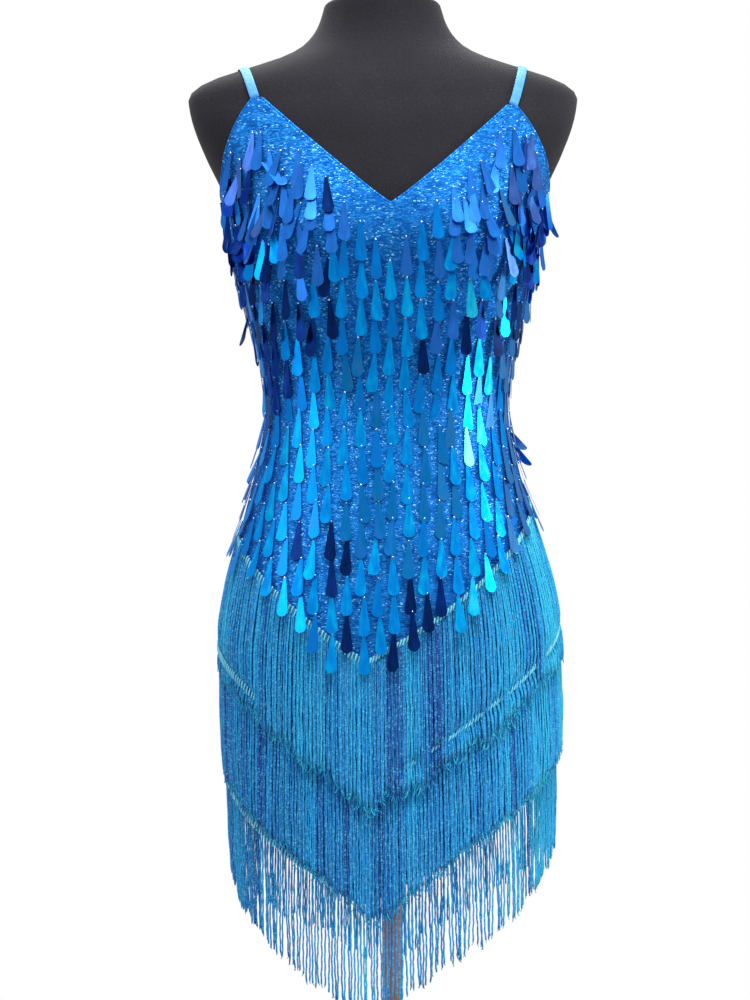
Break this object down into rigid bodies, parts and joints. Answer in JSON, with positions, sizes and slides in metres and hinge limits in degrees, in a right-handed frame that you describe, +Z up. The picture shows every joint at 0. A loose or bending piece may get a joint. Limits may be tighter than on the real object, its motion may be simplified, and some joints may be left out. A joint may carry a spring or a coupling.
{
  "type": "flapper mini dress on a dress form",
  "caption": "Close-fitting V-neck mini dress on thin straps, spangled bodice above V-shaped layers of hanging fringe, worn by a limbless dress form on a pole and round base.",
  "frame": {"origin": "centre of the round base's underside, on the floor, which is also the centre of the bounding box's underside", "axes": "+Z up, the dress faces -Y, +X to the right of someone who looks at the front"},
  "size_m": [0.3872, 0.36, 1.466],
  "materials": {
    "glitter_cloth": "stretch knit with a fine metallic glitter",
    "strap_elastic": "satin elastic tape",
    "fringe_yarn": "twisted rayon chainette with a soft sheen",
    "paillettes": "thin metallised film, mirror bright",
    "glass_beads": "small clear beads",
    "form_jersey": "matt stretch jersey cover",
    "pole_steel": "brown lacquered steel tube",
    "base_paint": "satin black paint"
  },
  "bodies": {
    "root": {"dress_front": "glitter_cloth", "dress_back": "glitter_cloth", "strap_left": "strap_elastic", "strap_right": "strap_elastic", "fringe_upper_front": "fringe_yarn", "fringe_upper_back": "fringe_yarn", "fringe_middle_front": "fringe_yarn", "fringe_middle_back": "fringe_yarn", "fringe_lower_front": "fringe_yarn", "fringe_lower_back": "fringe_yarn", "form_torso": "form_jersey", "stand_pole": "pole_steel", "stand_base": "base_paint"}
  },
  "joints": []
}
